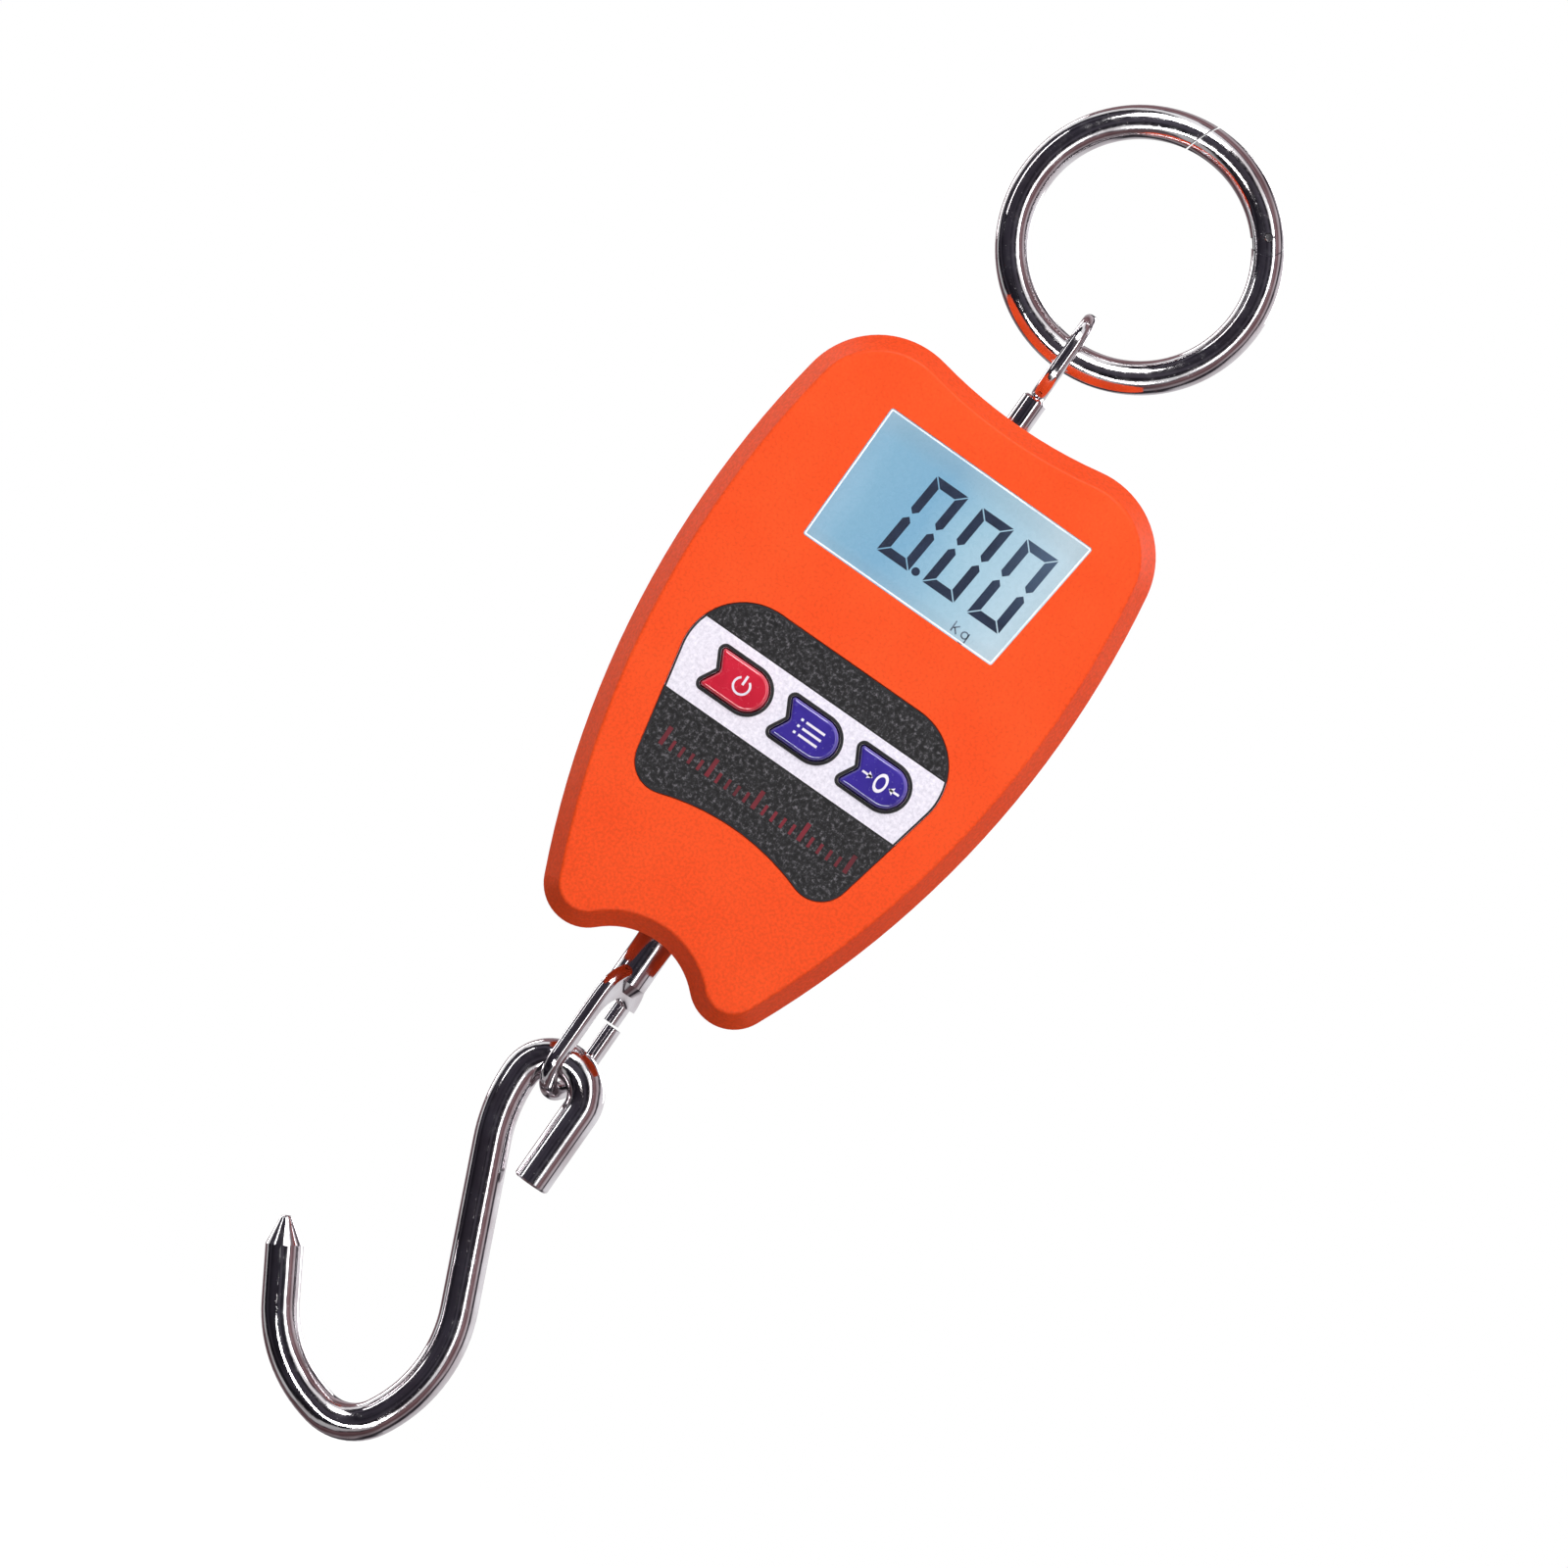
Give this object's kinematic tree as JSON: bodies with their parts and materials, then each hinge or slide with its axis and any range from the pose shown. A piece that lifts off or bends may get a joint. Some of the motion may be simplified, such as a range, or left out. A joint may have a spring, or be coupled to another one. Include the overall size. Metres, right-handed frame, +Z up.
{
  "type": "digital fish scale",
  "caption": "Handheld hanging digital scale: lobed plastic case with display and three keys, spring-gate ring above, swivel eyes and an S-hook below.",
  "frame": {"origin": "hang point: the top of the inside of the carrying ring, on the load line", "axes": "+Z up along the load line, +X to the reader's right, the display faces -Y"},
  "size_m": [0.0778, 0.0282, 0.2854],
  "materials": {
    "chrome": "polished nickel-chrome plating",
    "pin_steel": "satin",
    "spring_steel": "drawn wire",
    "zinc_steel": "zinc plated",
    "orange_plastic": "fine spark-eroded texture, semi-gloss",
    "black_plastic": "satin",
    "white_plastic": "satin",
    "clear_lens": "clear hard-coated acrylic",
    "overlay": "printed and speckled film",
    "foam": "closed-cell foam",
    "lcd": "lit display glass with polariser",
    "rubber": "layered conductive elastomer",
    "board": "green solder mask",
    "chips": "moulded epoxy",
    "aluminium": "milled",
    "gauge_foil": "foil on film",
    "sealant": "white silicone",
    "battery_jacket": "printed metal jacket",
    "nickel": "nickel plated",
    "wire_jacket": "thin insulation",
    "red_button": "glossy, slightly domed",
    "blue_button": "glossy, slightly domed"
  },
  "bodies": {
    "ring": {"ring_body": "chrome", "gate_pin": "pin_steel"},
    "gate": {"ring_gate": "chrome", "gate_spring": "spring_steel", "gate_plunger": "pin_steel"},
    "upper_eye": {"upper_eye_bolt": "chrome", "upper_washer": "zinc_steel", "upper_lock_nut": "zinc_steel"},
    "housing": {"front_shell": "orange_plastic", "rear_shell": "orange_plastic", "lcd_lens": "clear_lens", "keypad_overlay": "overlay", "lcd_gasket": "foam", "lcd_frame": "black_plastic", "lcd_glass": "lcd", "backlight": "white_plastic", "zebra_strip": "rubber", "main_board": "board", "board_chips": "chips", "tact_switches": "black_plastic", "board_screws": "zinc_steel", "load_cell": "aluminium", "strain_gauges": "gauge_foil", "gauge_sealant": "sealant", "cell_screws": "zinc_steel", "battery_cells": "battery_jacket", "battery_springs": "spring_steel", "battery_plates": "nickel", "battery_wires": "wire_jacket", "gauge_wires": "wire_jacket", "case_screws": "zinc_steel"},
    "door": {"battery_door": "orange_plastic"},
    "power_key": {"power_button": "red_button", "power_plunger": "white_plastic"},
    "mode_key": {"mode_button": "blue_button", "mode_plunger": "white_plastic"},
    "tare_key": {"tare_button": "blue_button", "tare_plunger": "white_plastic"},
    "lower_eye": {"lower_eye_bolt": "chrome", "lower_washer": "zinc_steel", "lower_lock_nut": "zinc_steel"},
    "hook": {"s_hook": "chrome"}
  },
  "joints": [
    {"name": "gate_hinge", "type": "hinge", "parent": "ring", "child": "gate", "pos_m": [0.0177, 0, -0.00515], "axis": [0, -1, 0], "range_deg": [0, 32], "stiffness_Nm_per_rad": 0.05, "springref_deg": -17.19},
    {"name": "ring_tilt", "type": "hinge", "parent": "ring", "child": "upper_eye", "pos_m": [0, 0, -0.0431], "axis": [1, 0, 0], "range_deg": [-110, 110]},
    {"name": "upper_swivel", "type": "hinge", "parent": "upper_eye", "child": "housing", "pos_m": [0, 0, -0.0893], "axis": [0, 0, 1], "continuous": true},
    {"name": "lower_swivel", "type": "hinge", "parent": "housing", "child": "lower_eye", "pos_m": [0, 0, -0.1433], "axis": [0, 0, 1], "continuous": true},
    {"name": "hook_swing", "type": "hinge", "parent": "lower_eye", "child": "hook", "pos_m": [0, 0, -0.2054], "axis": [0, 1, 0], "range_deg": [-80, 80]},
    {"name": "door_hinge", "type": "hinge", "parent": "housing", "child": "door", "pos_m": [0, 0.01, -0.1488], "axis": [-1, 0, 0], "range_deg": [0, 75]},
    {"name": "power_press", "type": "slide", "parent": "housing", "child": "power_key", "axis": [0, 1, 0], "range_m": [0, 0.0006], "stiffness_N_per_m": 800, "springref_m": -0.0002},
    {"name": "mode_press", "type": "slide", "parent": "housing", "child": "mode_key", "axis": [0, 1, 0], "range_m": [0, 0.0006], "stiffness_N_per_m": 800, "springref_m": -0.0002},
    {"name": "tare_press", "type": "slide", "parent": "housing", "child": "tare_key", "axis": [0, 1, 0], "range_m": [0, 0.0006], "stiffness_N_per_m": 800, "springref_m": -0.0002}
  ]
}
